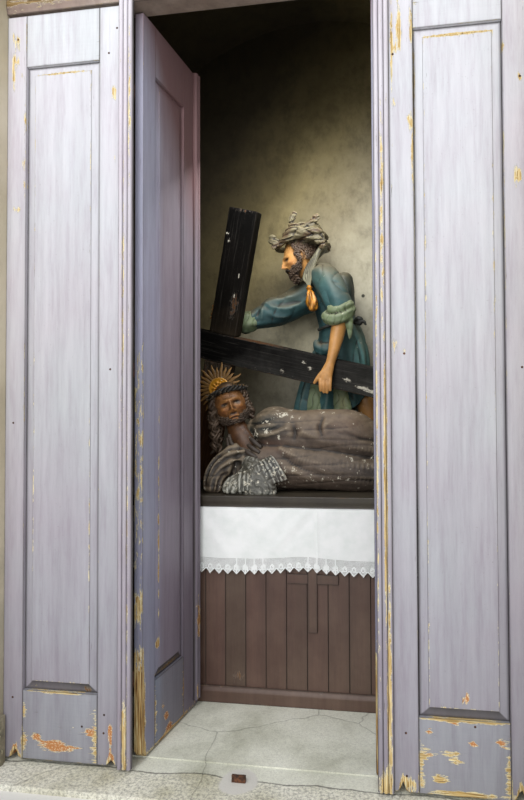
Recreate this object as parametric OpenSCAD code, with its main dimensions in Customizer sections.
// Wayside shrine: a small vaulted chapel with a panelled timber door screen, an altar
// and a carved and painted group of a fallen figure, a cross and its bearer.
// X runs across the front, Y into the chapel, Z up; the origin is the middle of the
// ground under the building. Millimetres.

/* [Chapel] */
// Clear width inside, between the side walls
inside_w = 2400; // [2200:10:3000]
// Clear depth inside, from the front wall to the rear wall
inside_d = 1300; // [1250:10:1800]
// Thickness of the masonry walls
wall_t = 350; // [300:10:500]
// Height of the vault's crown above the doorway's springing line
crown_over = 665; // [600:5:900]
// Radius of the vault's underside
vault_r = 1400; // [1350:10:1900]
// Thickness of the vault
vault_t = 120; // [80:5:150]
// Height of the rough stone plinth
plinth_h = 220; // [120:10:500]
// How far the plinth stands out of the walls
plinth_out = 50; // [20:5:100]
// How far the plinth reaches into the doorway
plinth_in = 18; // [0:1:30]
// Gap between the plinth and the door screen behind it
plinth_clear = 10; // [6:1:20]
// Top of the concrete floor above the ground
floor_z = 30; // [20:1:60]
// Step down in the floor under the doors
floor_step = 5; // [2:1:10]
// Where that step lies behind the face of the door leaves
floor_step_y = 105; // [60:5:180]

/* [Roof] */
// Roof pitch in degrees
pitch = 25; // [22:1:30]
// Space between the vault's crown and the ridge line under the roof
roof_gap = 220; // [200:10:500]
// Thickness of the roof slopes
roof_t = 90; // [60:5:140]
// Eaves overhang past the side walls
eaves_out = 200; // [170:10:300]
// Verge overhang past the gables
verge_out = 120; // [80:10:200]
// Width of one arm of the ridge capping
ridge_w = 150; // [100:10:200]
// Thickness of the ridge capping
ridge_t = 30; // [20:5:50]
// Height of the cornice under the eaves
cornice_h = 130; // [80:10:180]
// How far the cornice stands out
cornice_out = 110; // [60:10:150]

/* [Doorway] */
// Half the width of the masonry doorway
doorway_half = 1078; // [1070:1:1100]
// Height of the doorway's springing line above the transom
spring_over = 27; // [0:1:100]
// Rise of the arch over the doorway
doorway_rise = 330; // [280:10:400]
// Depth of the arch stones
arch_t = 250; // [200:10:300]
// How far the arch stones stand out of the wall
arch_out = 15; // [5:1:30]
// Depth of the reveal in front of the doors
reveal = 150; // [100:5:180]

/* [Door screen] */
// Height of the door leaves
leaf_h = 3150; // [3000:10:3300]
// Clearance under the leaves
leaf_foot = 10; // [8:1:15]
// Clearance over the leaves
leaf_head = 8; // [6:1:12]
// Clearance between an outer leaf and the shut inner leaf beside it
leaf_gap = 6; // [5:0.5:8]
// Clearance of a fitted piece from the arch
arch_gap = 0.3; // [0.1:0.1:1]
// Thickness of the fixed outer leaves
outer_t = 45; // [40:1:50]
// Thickness of the hinged inner leaves
inner_t = 40; // [35:1:42]
// Height of the bottom rails
rail_bottom = 284; // [200:1:320]
// Height of the top rails
rail_top = 225; // [160:1:260]
// Half the clear width between the cover strips
strip_in = 498; // [490:1:520]
// Width of the cover strips
strip_w = 62; // [50:1:80]
// How far the cover strips and astragals stand out
strip_out = 20; // [14:1:24]
// How far a cover strip laps over the shut inner leaf
strip_lap = 29; // [20:1:40]
// Stile shown between a cover strip and the outer panel
outer_stile = 93; // [80:1:110]
// Stile between the outer panel and the masonry
edge_stile = 90; // [70:1:110]
// Stile of an inner leaf at its hinges
hinge_stile = 102; // [90:1:120]
// Stile of an inner leaf at its meeting edge
meet_stile = 152; // [120:1:170]
// Half the gap between the two shut inner leaves
meet_gap = 8; // [8:0.5:12]
// Width of the astragal on an inner leaf's meeting edge
astragal_w = 51; // [40:1:60]
// How far the astragal stops short of the leaf's foot
astragal_short = 30; // [28:1:60]
// Width of the bevel round a raised panel
bevel_w = 38; // [25:1:45]
// Depth of the bevel's outer edge below the frame's face
bevel_deep = 14; // [8:1:16]
// Depth of the raised field below the frame's face
field_deep = 3; // [1:1:5]
// Height of the transom over the leaves
transom_h = 150; // [120:5:160]
// Depth of the transom behind the leaves' face
transom_d = 100; // [80:5:120]
// How far the transom's moulding stands out
transom_out = 14; // [8:1:19]

/* [Hinges] */
// How far the left inner leaf stands open
left_open = 85.5; // [0:0.5:170]
// How far the right inner leaf stands open
right_open = 90; // [0:0.5:170]
// How far the pins stand behind the inner leaves
pin_back = 10; // [8:1:12]
// Distance from the pins to the edge of an inner leaf
pin_edge = 8; // [6:1:10]
// Radius of a hinge knuckle
knuckle_r = 7; // [6:0.5:7.5]
// Radius of a hinge pin
pin_r = 4; // [3:0.5:4.5]
// Running clearance round a pin
pin_clear = 0.1; // [0.05:0.01:0.2]
// Length of one hinge knuckle
knuckle_h = 60; // [40:5:80]
// Width of a hinge flap past the pin
flap_w = 38; // [30:1:45]
// Thickness of a hinge flap
flap_t = 4; // [3.2:0.1:5]
// Height of the lowest hinge above the leaf's foot
hinge_low = 300; // [200:10:500]
// Height of the middle hinge above the leaf's foot
hinge_mid = 1590; // [1300:10:1800]
// Height of the highest hinge above the leaf's foot
hinge_high = 2780; // [2500:10:2900]

/* [Leaf stop] */
// Width of the iron stop in the floor
stop_w = 57; // [40:1:70]
// Thickness of the iron stop
stop_t = 12; // [8:1:15]
// Height of the iron stop above the floor
stop_h = 30; // [20:1:30]
// Place of the stop left of the doorway's middle
stop_x = -50; // [-80:1:0]

/* [Altar] */
// Distance from the leaves' face to the front edge of the altar
altar_y = 600; // [600:1:640]
// Height of the altar above the ground
altar_z = 1061; // [900:1:1100]
// Thickness of the altar's table
table_t = 55; // [40:1:70]
// How far the table stands out of the boarded front
table_out = 25; // [20:1:40]
// Thickness of the boards on the altar's front
board_t = 22; // [18:1:30]
// Width of one board
board_w = 105; // [90:1:130]
// Width of the joint between two boards
joint_w = 5; // [2:1:8]
// Height of the base moulding
base_h = 78; // [50:1:100]
// Thickness of the base moulding
base_t = 24; // [18:1:25]
// Place of the altar's cross along the front
altar_cross_x = 134; // [0:1:200]
// Width of the cross's arms from tip to tip
altar_cross_w = 259; // [200:1:320]
// Width of the cross's bars
altar_cross_bar = 46; // [30:1:60]
// Height of the cross's foot above the ground
altar_cross_foot = 394; // [300:1:450]
// Height of the cross from foot to top
altar_cross_h = 440; // [350:1:520]
// Height from the cross's foot to the underside of its arms
altar_cross_arm = 238; // [180:1:300]
// Thickness of the cross on the boards
altar_cross_t = 12; // [6:0.5:13]
// Drop of the altar cloth
cloth_h = 330; // [250:1:400]
// Thickness of the cloth with its folds
cloth_t = 8; // [6:0.5:9]
// Distance from the cloth's ends to the side walls
cloth_side = 50; // [10:5:200]
// Gap between the table's edge and the hanging cloth
cloth_gap = 3; // [1:0.5:6]

/* [Carved cross] */
// Angle of the long beam below the level
beam_tilt = 13.5; // [5:0.1:20]
// How far the cross leans out towards the doors, in degrees
cross_lean = 10; // [0:0.5:14]
// Length of the long beam
beam_l = 1800; // [1400:10:2000]
// Width of the beams
beam_w = 165; // [120:1:180]
// Thickness of the beams
beam_t = 95; // [70:1:110]
// Where the beams cross, from the middle
crossing_x = -473; // [-520:1:-400]
// Height of the crossing above the altar
crossing_z = 791; // [740:1:850]
// Distance from the leaves' face to the front of the crossing
beam_y = 1000; // [990:1:1030]
// Length of the long beam left of the crossing
beam_left = 420; // [250:10:500]
// Length of the cross's upper arm above the crossing
arm_up = 790; // [600:10:850]

/* [Carved figures] */
// Height of a figure if it stood upright
figure_h = 1700; // [1600:10:1760]
// Place of the bearer's feet to the right of the middle
bearer_x = 150; // [100:5:200]
// Distance from the leaves' face to the middle of the bearer
bearer_y = 1250; // [1240:1:1280]
// Place of the fallen figure's back to the right of the middle
fallen_x = 0; // [-20:1:20]
// Distance from the leaves' face to the middle of the fallen figure
fallen_y = 870; // [850:1:870]
// Radius of the halo's gilt disc
halo_disc_r = 65; // [50:1:80]
// Length of the halo's rays past the disc
halo_ray = 78; // [50:1:90]
// Number of rays of the halo
halo_rays = 22; // [16:1:28]
// Thickness of the halo
halo_t = 6; // [4:1:10]

/* [Hidden] */
$fn = 96;

inside_half = inside_w/2;
outside_half = inside_half + wall_t;
// The leaves' face lies this far in front of the middle of the building
front_y = -(inside_d + 2*wall_t)/2;
face_y = front_y + reveal;
inner_y = front_y + wall_t;
rear_y = inner_y + inside_d;
back_y = rear_y + wall_t;
plinth_stop_y = face_y - plinth_clear;
leaf_z = floor_z + leaf_foot;
head_z = leaf_z + leaf_h + leaf_head;

doorway_spring = head_z + transom_h + spring_over;
crown_z = doorway_spring + crown_over;
vault_cz = crown_z - vault_r;
ridge_under = crown_z + roof_gap + vault_t;
function roof_under(x) = ridge_under - abs(x)*tan(pitch);

arch_r = (pow(doorway_half, 2) + pow(doorway_rise, 2))/(2*doorway_rise);
arch_cz = doorway_spring + doorway_rise - arch_r;

far = 9000;
eps = 0.01;

stone = "gray";
plaster = "wheat";
paint = "slategray";
iron = "saddlebrown";

// A block between two corners
module block(a, b) {
  translate(a) cube(b - a);
}

// An outline drawn across the front, carried into the chapel from one depth to another
module across(y0, y1) {
  translate([0, y1, 0]) rotate([90, 0, 0]) linear_extrude(y1 - y0) children();
}

module both_sides() {
  children();
  mirror([1, 0, 0]) children();
}

module floor_slab() {
  color("darkgray") difference() {
    union() {
      block([-inside_half, inner_y, 0], [inside_half, rear_y, floor_z]);
      block([-doorway_half, plinth_stop_y, 0], [doorway_half, inner_y, floor_z]);
      block([-doorway_half + plinth_in, front_y, 0],
            [doorway_half - plinth_in, plinth_stop_y, floor_z]);
    }
    block([-doorway_half, front_y - eps, floor_z - floor_step],
          [doorway_half, face_y + floor_step_y, floor_z + eps]);
  }
}

module side_plinths() {
  color(stone) both_sides()
    block([inside_half, inner_y, 0], [outside_half + plinth_out, rear_y, plinth_h]);
}

module end_plinths() {
  color(stone) {
    both_sides() {
      block([doorway_half - plinth_in, front_y - plinth_out, 0],
            [outside_half + plinth_out, plinth_stop_y, plinth_h]);
      block([doorway_half, plinth_stop_y, 0], [outside_half + plinth_out, inner_y, plinth_h]);
    }
    block([-outside_half - plinth_out, rear_y, 0],
          [outside_half + plinth_out, back_y + plinth_out, plinth_h]);
  }
}

// The outline of all that lies under the roof slopes
module under_roof() {
  edge = outside_half + eaves_out;
  polygon([[-edge, 0], [edge, 0], [edge, roof_under(edge)], [0, ridge_under],
           [-edge, roof_under(edge)]]);
}

module side_wall() {
  across(inner_y, rear_y) intersection() {
    translate([inside_half, plinth_h]) square([wall_t, far]);
    under_roof();
  }
}

module right_wall() { color(plaster) side_wall(); }
module left_wall() { color(plaster) mirror([1, 0, 0]) side_wall(); }

module rear_wall() {
  color(plaster) block([-outside_half, rear_y, plinth_h],
                       [outside_half, back_y, roof_under(outside_half)]);
}

module rear_gable() {
  color(plaster) across(rear_y, back_y) intersection() {
    translate([-outside_half, roof_under(outside_half)]) square([2*outside_half, far]);
    under_roof();
  }
}

module front_piers() {
  color(plaster) both_sides()
    block([doorway_half, front_y, plinth_h], [outside_half, inner_y, doorway_spring]);
}

module arch_disc(r) { translate([0, arch_cz]) circle(r, $fn = 240); }

module front_arch() {
  color(stone) across(front_y - arch_out, inner_y) intersection() {
    difference() {
      arch_disc(arch_r + arch_t);
      arch_disc(arch_r);
    }
    translate([-outside_half, doorway_spring]) square([2*outside_half, far]);
  }
}

module front_gable() {
  color(plaster) across(front_y, inner_y) difference() {
    intersection() {
      translate([-outside_half, doorway_spring]) square([2*outside_half, far]);
      under_roof();
    }
    arch_disc(arch_r + arch_t);
  }
}

module vault() {
  color(plaster) across(inner_y, rear_y) intersection() {
    difference() {
      translate([0, vault_cz]) circle(vault_r + vault_t, $fn = 240);
      translate([0, vault_cz]) circle(vault_r, $fn = 240);
    }
    translate([-inside_half, vault_cz]) square([inside_w, far]);
  }
}

// Eaves cornice: a fillet, a cove and an upper fillet, cut off by the roof above
module eaves_cornices() {
  fillet = cornice_out/5;
  top = roof_under(outside_half);
  color(stone) both_sides() across(front_y, back_y) intersection() {
    polygon([[outside_half, top - cornice_h], [outside_half + fillet, top - cornice_h],
             for (a = [0:15:90]) [outside_half + fillet + (cornice_out - fillet)*(1 - cos(a)),
                                  top - cornice_h + fillet + (cornice_h - 2*fillet)*sin(a)],
             [outside_half + cornice_out, top], [outside_half, top]]);
    under_roof();
  }
}

module roof_slope() {
  edge = outside_half + eaves_out;
  rise = roof_t/cos(pitch);
  across(front_y - verge_out, back_y + verge_out)
    polygon([[0, ridge_under], [edge, roof_under(edge)],
             [edge + roof_t*sin(pitch), roof_under(edge) + roof_t*cos(pitch)],
             [0, ridge_under + rise]]);
}

module right_roof() { color("dimgray") roof_slope(); }
module left_roof() { color("dimgray") mirror([1, 0, 0]) roof_slope(); }

module ridge_cap() {
  top = ridge_under + roof_t/cos(pitch);
  arm = [ridge_w*cos(pitch), -ridge_w*sin(pitch)];
  up = ridge_t/cos(pitch);
  color("gray") across(front_y - verge_out, back_y + verge_out)
    polygon([[0, top], [arm.x, top + arm.y], [arm.x, top + arm.y + up], [0, top + up],
             [-arm.x, top + arm.y + up], [-arm.x, top + arm.y]]);
}

// The hinge edge of a shut inner leaf, from the middle
hinge_edge = strip_in + strip_lap;
pin_x = hinge_edge + pin_edge;
inner_w = hinge_edge - meet_gap;
inner_panel_w = inner_w - hinge_stile - meet_stile;
outer_in = hinge_edge + leaf_gap;
outer_panel_in = strip_in + strip_w + outer_stile;
outer_panel_out = doorway_half - edge_stile;

// A framed leaf standing on its foot: stiles and rails round one panel opening
module leaf_frame(x0, x1, panel_x0, panel_x1, y0, y1) {
  difference() {
    block([x0, y0, 0], [x1, y1, leaf_h]);
    block([panel_x0, y0 - eps, rail_bottom], [panel_x1, y1 + eps, leaf_h - rail_top]);
  }
}

// A raised and fielded panel: its four bevels meet in mitres, where two carried
// outlines cross
module raised_panel(x0, x1, y0, y1) {
  z0 = rail_bottom;
  z1 = leaf_h - rail_top;
  back = y1 - bevel_deep/2;
  intersection() {
    linear_extrude(far)
      polygon([[x0, back], [x0, y0 + bevel_deep], [x0 + bevel_w, y0 + field_deep],
               [x1 - bevel_w, y0 + field_deep], [x1, y0 + bevel_deep], [x1, back]]);
    translate([x0 - far/2, 0, 0]) rotate([90, 0, 90]) linear_extrude(far)
      polygon([[back, z0], [y0 + bevel_deep, z0], [y0 + field_deep, z0 + bevel_w],
               [y0 + field_deep, z1 - bevel_w], [y0 + bevel_deep, z1], [back, z1]]);
  }
}

// Moulded strip seen in plan: a flat back with three beads between quirks
module strip_plan(w, out, beads) {
  quirk = 2;
  bead = (w - quirk*(beads + 1))/beads;
  square_out = out - bead/2;
  translate([0, -square_out]) square([w, square_out]);
  intersection() {
    for (i = [0:beads - 1])
      translate([quirk + bead/2 + i*(bead + quirk), -square_out]) circle(bead/2, $fn = 32);
    translate([0, -out]) square([w, out]);
  }
}

module outer_leaf() {
  translate([0, face_y, leaf_z])
    leaf_frame(outer_in, doorway_half, outer_panel_in, outer_panel_out, 0, outer_t);
}

module right_outer_leaf() { color(paint) outer_leaf(); }
module left_outer_leaf() { color(paint) mirror([1, 0, 0]) outer_leaf(); }

module outer_panels() {
  color("lightslategray") both_sides() translate([0, face_y, leaf_z])
    raised_panel(outer_panel_in, outer_panel_out, 0, outer_t);
}

module strip_solid() {
  top = arch_cz + sqrt(pow(arch_r, 2) - pow(strip_in + strip_w, 2));
  translate([strip_in, face_y, leaf_z]) linear_extrude(top - leaf_z - leaf_head)
    strip_plan(strip_w, strip_out, 3);
}

module cover_strips() { color("lightsteelblue") both_sides() strip_solid(); }

module transom() {
  color(paint) difference() {
    union() {
      block([-doorway_half, face_y, head_z],
            [doorway_half, face_y + transom_d, head_z + transom_h]);
      translate([-doorway_half, face_y, head_z]) rotate([90, 0, 90])
        linear_extrude(2*doorway_half)
          polygon([[0, 0], [-transom_out/2, 0], [-transom_out/2, transom_out],
                   [-transom_out, 2*transom_out], [-transom_out, transom_h - transom_out],
                   [0, transom_h]]);
    }
    both_sides() block([strip_in, face_y - strip_out, 0], [strip_in + strip_w, face_y, far]);
  }
}

module lunette() {
  low = head_z + transom_h;
  color("lightslategray") across(face_y, face_y + outer_t) intersection() {
    arch_disc(arch_r - arch_gap);
    translate([-doorway_half, low]) square([2*doorway_half, far]);
  }
}

// Puts a leaf, drawn shut with its pin at the origin, at its place and angle. The
// leaf's foot is at z = 0, it runs along +X and its outer face is towards -Y.
module hang(open) {
  translate([-pin_x, face_y + outer_t + pin_back, leaf_z]) rotate([0, 0, open]) children();
}

leaf_y1 = -pin_back;
leaf_y0 = leaf_y1 - inner_t;

module inner_leaf() {
  leaf_frame(pin_edge, pin_edge + inner_w, pin_edge + hinge_stile,
             pin_edge + hinge_stile + inner_panel_w, leaf_y0, leaf_y1);
}

module inner_panel() {
  raised_panel(pin_edge + hinge_stile, pin_edge + hinge_stile + inner_panel_w, leaf_y0, leaf_y1);
}

module astragal() {
  translate([pin_edge + inner_w - astragal_w, leaf_y0, astragal_short])
    linear_extrude(leaf_h - astragal_short) strip_plan(astragal_w, strip_out, 2);
}

function hinge_heights() = [hinge_low, hinge_mid, hinge_high];

// Lower knuckle, its flap on the outer leaf and the pin that stands in it
module pin_half(z) {
  translate([0, 0, z - knuckle_h]) {
    cylinder(h = knuckle_h, r = knuckle_r);
    block([-flap_w, -pin_back, 0], [0, -pin_back + flap_t, knuckle_h]);
    cylinder(h = 2*knuckle_h - knuckle_r, r = pin_r);
  }
}

// Upper knuckle, bored for the pin, and its flap on the inner leaf
module leaf_half(z) {
  translate([0, 0, z + pin_clear]) difference() {
    union() {
      cylinder(h = knuckle_h, r = knuckle_r);
      block([0, -pin_back, 0], [flap_w, -pin_back + flap_t, knuckle_h]);
    }
    translate([0, 0, -eps]) cylinder(h = knuckle_h - knuckle_r + eps + 2, r = pin_r + pin_clear);
  }
}

module hinge_pins() {
  color(iron) both_sides() hang(0) for (z = hinge_heights()) pin_half(z);
}

module left_inner_leaf() { color(paint) hang(left_open) inner_leaf(); }
module left_inner_panel() { color("rosybrown") hang(left_open) inner_panel(); }
module left_astragal() { color("thistle") hang(left_open) astragal(); }
module left_hinge_leaves() { color(iron) hang(left_open) for (z = hinge_heights()) leaf_half(z); }
module right_inner_leaf() { color(paint) mirror([1, 0, 0]) hang(right_open) inner_leaf(); }
module right_inner_panel() { color("rosybrown") mirror([1, 0, 0]) hang(right_open) inner_panel(); }
module right_astragal() { color("thistle") mirror([1, 0, 0]) hang(right_open) astragal(); }
module right_hinge_leaves() {
  color(iron) mirror([1, 0, 0]) hang(right_open) for (z = hinge_heights()) leaf_half(z);
}

module leaf_stop() {
  foot = floor_z - floor_step;
  color(iron) block([stop_x - stop_w/2, face_y - stop_t, foot],
                    [stop_x + stop_w/2, face_y, foot + stop_h]);
}

front_altar_y = face_y + altar_y;
boards_y = front_altar_y + table_out;
table_under = altar_z - table_t;

module altar_block() {
  color("sienna") block([-inside_half, boards_y + board_t, floor_z], [inside_half, rear_y, table_under]);
}

module altar_table() {
  nose = table_t/3;
  color("saddlebrown") translate([-inside_half, 0, table_under]) rotate([90, 0, 90])
    linear_extrude(inside_w) difference() {
      translate([front_altar_y, 0]) square([rear_y - front_altar_y, table_t]);
      translate([front_altar_y, nose/2]) circle(nose/2, $fn = 32);
    }
}

module altar_boards() {
  count = ceil(inside_half/board_w);
  color("rosybrown") difference() {
    block([-inside_half, boards_y, floor_z], [inside_half, boards_y + board_t, table_under]);
    for (i = [-count:count])
      translate([i*board_w, boards_y, 0]) rotate([0, 0, 45])
        translate([-joint_w/2, -joint_w/2, 0]) cube([joint_w, joint_w, far]);
  }
}

module altar_base() {
  bead = base_t/3;
  color("saddlebrown") translate([-inside_half, boards_y, floor_z]) rotate([90, 0, 90])
    linear_extrude(inside_w)
      polygon([[0, 0], [-base_t, 0], [-base_t, base_h - 2*bead],
               for (a = [0:15:90]) [-base_t + bead*(1 - cos(a)), base_h - 2*bead + bead*sin(a)],
               [-bead, base_h], [0, base_h]]);
}

module altar_cross() {
  color("rosybrown") translate([altar_cross_x, boards_y, altar_cross_foot])
    across(-altar_cross_t, 0) {
      translate([-altar_cross_bar/2, 0]) square([altar_cross_bar, altar_cross_h]);
      translate([-altar_cross_w/2, altar_cross_arm]) square([altar_cross_w, altar_cross_bar]);
    }
}

module altar_cloth() {
  half = inside_half - cloth_side;
  color("white") block([-half, front_altar_y + cloth_gap, table_under - cloth_h],
                       [half, front_altar_y + cloth_gap + cloth_t, table_under]);
}

// Turns and places what is drawn in the cross's own frame: x along the long beam, y from
// its front to its back, z up the arms, from the crossing
module at_crossing() {
  translate([crossing_x, face_y + beam_y, altar_z + crossing_z])
    rotate([cross_lean, beam_tilt, 0]) children();
}

// The same turn for one point, in the building's frame
function on_cross(p) = let (z = p.y*sin(cross_lean) + p.z*cos(cross_lean))
  [crossing_x + p.x*cos(beam_tilt) + z*sin(beam_tilt),
   face_y + beam_y + p.y*cos(cross_lean) - p.z*sin(cross_lean),
   altar_z + crossing_z - p.x*sin(beam_tilt) + z*cos(beam_tilt)];

// The corner of the lower arm stands on the altar
arm_down = (crossing_z - beam_w/2*sin(beam_tilt))/(cos(cross_lean)*cos(beam_tilt));

module beam_solid() {
  at_crossing() block([-beam_left, 0, -beam_w/2], [beam_l - beam_left, beam_t, beam_w/2]);
}

module cross_solid() {
  beam_solid();
  at_crossing() block([-beam_w/2, 0, -arm_down], [beam_w/2, beam_t, arm_up]);
}

module cross_beam() { color("black") beam_solid(); }

module cross_arms() {
  color("black") at_crossing() {
    block([-beam_w/2, 0, beam_w/2], [beam_w/2, beam_t, arm_up]);
    block([-beam_w/2, 0, -arm_down], [beam_w/2, beam_t, -beam_w/2]);
  }
}

// The figures were set out for this height
figure_k = figure_h/1700;
// Points on the figures: x across, y behind the figure's middle, z above the altar
function bearer(p) = [bearer_x, face_y + bearer_y, altar_z] + figure_k*p;
function fallen(p) = [fallen_x, face_y + fallen_y, altar_z] + figure_k*p;

ball_fn = 18;
module lump(p, r) { translate(p) sphere(figure_k*r, $fn = ball_fn); }

// A smooth form pulled over balls, each given as [place, radius]
module form(balls) {
  hull() for (ball = balls) lump(ball[0], ball[1]);
}

module above_altar() {
  intersection() {
    children();
    block([-inside_half, front_altar_y, altar_z], [inside_half, rear_y, far]);
  }
}

// The near hand lies on the beam's front, the far one behind the upper arm
near_hand_x = 640;
far_hand_z = 190;
hand_r = 30;
near_wrist = on_cross([near_hand_x + 15, -hand_r - 12, 75]);
near_palm = on_cross([near_hand_x, -hand_r, 5]);
near_fingers = on_cross([near_hand_x, -hand_r + 8, -60]);
near_thumb = on_cross([near_hand_x - 70, -hand_r + 12, -35]);
near_elbow = bearer([72, -215, 945]);
far_wrist = bearer([-480, -75, 955]);
far_palm = on_cross([15, beam_t + hand_r, far_hand_z]);
far_knuckle = on_cross([-beam_w/2 - 12, beam_t + 16, far_hand_z + 6]);
far_fingers = on_cross([-beam_w/2 - 18, beam_t/2, far_hand_z + 5]);

module bearer_tunic_shape() {
  form([[bearer([-50, -20, 1125]), 108], [bearer([10, 5, 1150]), 85],
        [bearer([25, -10, 930]), 112]]);
  form([[bearer([25, -10, 930]), 108], [bearer([50, 0, 790]), 130],
        [bearer([150, 40, 770]), 112], [bearer([-60, -20, 820]), 50]]);
  form([[bearer([60, 10, 760]), 125], [bearer([150, 40, 760]), 108],
        [bearer([-150, 0, 400]), 65], [bearer([200, 30, 400]), 85]]);
}

module bearer_sleeves() {
  form([[bearer([0, -135, 1175]), 82], [near_elbow, 68]]);
  form([[near_elbow, 70], [near_elbow + figure_k*[-30, -12, -30], 62],
        [near_elbow + figure_k*[25, 0, -35], 60]]);
  form([[bearer([-160, 70, 1095]), 92], [bearer([-390, -5, 1010]), 84]]);
  form([[bearer([-390, -5, 1010]), 80], [bearer([-470, -55, 950]), 50]]);
}

module bearer_robe() {
  color("teal") difference() {
    union() {
      bearer_tunic_shape();
      bearer_sleeves();
    }
    cross_solid();
  }
}

module bearer_head() {
  color("peru") difference() {
    union() {
      form([[bearer([-215, -55, 1420]), 62], [bearer([-125, -35, 1425]), 88],
            [bearer([-185, -45, 1500]), 70]]);
      form([[bearer([-200, -52, 1360]), 92], [bearer([-225, -62, 1275]), 52]]);
      form([[bearer([-222, -64, 1260]), 48], [bearer([-205, -66, 1200]), 26]]);
      form([[bearer([-165, -45, 1330]), 58], [bearer([-60, -20, 1190]), 80]]);
      for (knob = [[-330, -60, 1425], [-165, -50, 1570], [-60, -40, 1520]])
        form([[bearer([-190, -50, 1450]), 40], [bearer(knob), 24]]);
    }
    bearer_tunic_shape();
    bearer_sleeves();
  }
}

module bearer_limbs() {
  color("burlywood") difference() {
    union() {
      form([[near_elbow, 48], [near_wrist, 30]]);
      form([[near_wrist, 28], [near_palm, hand_r], [near_fingers, 22]]);
      form([[near_palm, 22], [near_thumb, 14]]);
      form([[far_wrist, 32], [far_palm, hand_r], [far_knuckle, 20]]);
      form([[far_knuckle, 20], [far_fingers, 15]]);
      form([[bearer([-120, 10, 420]), 62], [bearer([-130, 25, 75]), 42]]);
      form([[bearer([-130, 25, 60]), 42], [bearer([-190, 0, 22]), 30]]);
      form([[bearer([215, 35, 420]), 66], [bearer([240, 60, 75]), 44]]);
      form([[bearer([240, 60, 60]), 42], [bearer([190, 20, 22]), 30]]);
    }
    bearer_tunic_shape();
    bearer_sleeves();
    cross_solid();
    block([-far, -far, -far], [far, far, altar_z]);
  }
}

// The fallen figure crawls to the left on its knees and one arm
module fallen_robe_shape() {
  form([[fallen([-150, 0, 335]), 120], [fallen([150, 10, 320]), 125],
        [fallen([-110, -20, 150]), 120]]);
  form([[fallen([150, 10, 320]), 120], [fallen([290, 20, 300]), 128],
        [fallen([120, 0, 100]), 120], [fallen([330, -10, 90]), 92]]);
  form([[fallen([330, -10, 95]), 92], [fallen([620, 50, 75]), 66], [fallen([790, 60, 50]), 42]]);
  form([[fallen([-170, -10, 300]), 95], [fallen([-300, -50, 235]), 78],
        [fallen([-400, -100, 120]), 60]]);
  form([[fallen([-400, -100, 120]), 60], [fallen([-395, -150, 25]), 48],
        [fallen([-420, -150, 15]), 30]]);
  form([[fallen([-230, -90, 160]), 62], [fallen([-310, -185, 12]), 24],
        [fallen([-90, -190, 12]), 26], [fallen([-60, -130, 90]), 60]]);
}

module fallen_robe() {
  color("saddlebrown") above_altar() difference() {
    fallen_robe_shape();
    cross_solid();
  }
}

module fallen_head_shape() {
  form([[fallen([-375, 5, 460]), 104], [fallen([-345, -28, 385]), 62],
        [fallen([-330, -45, 355]), 36]]);
  form([[fallen([-455, 0, 420]), 52], [fallen([-470, -20, 330]), 42],
        [fallen([-400, -60, 190]), 30]]);
  form([[fallen([-285, 0, 450]), 44], [fallen([-262, -5, 370]), 32]]);
  form([[fallen([-330, 0, 350]), 52], [fallen([-270, -20, 270]), 62]]);
}

module fallen_head() {
  color("sienna") above_altar() difference() {
    fallen_head_shape();
    fallen_robe_shape();
    cross_solid();
  }
}

// Gilt disc and its ring of pointed rays, cut from one sheet behind the head
module halo() {
  middle = fallen([-473, 112, 561]);
  step = 360/halo_rays;
  notch = halo_disc_r + halo_ray/4;
  color("gold") translate(middle) rotate([90, 0, 0]) linear_extrude(halo_t)
    polygon([for (i = [0:halo_rays - 1], half = [0, 1])
      let (r = half == 0 ? halo_disc_r + halo_ray : notch, a = (i + half/2)*step)
        [r*sin(a), r*cos(a)]]);
}

floor_slab();
side_plinths();
end_plinths();
left_wall();
right_wall();
rear_wall();
front_piers();
front_arch();
front_gable();
rear_gable();
vault();
eaves_cornices();
left_roof();
right_roof();
ridge_cap();
transom();
lunette();
cover_strips();
left_outer_leaf();
right_outer_leaf();
outer_panels();
left_inner_leaf();
left_inner_panel();
left_astragal();
right_inner_leaf();
right_inner_panel();
right_astragal();
hinge_pins();
left_hinge_leaves();
right_hinge_leaves();
leaf_stop();
altar_block();
altar_table();
altar_boards();
altar_base();
altar_cross();
altar_cloth();
cross_arms();
cross_beam();
bearer_robe();
bearer_head();
bearer_limbs();
fallen_robe();
fallen_head();
halo();
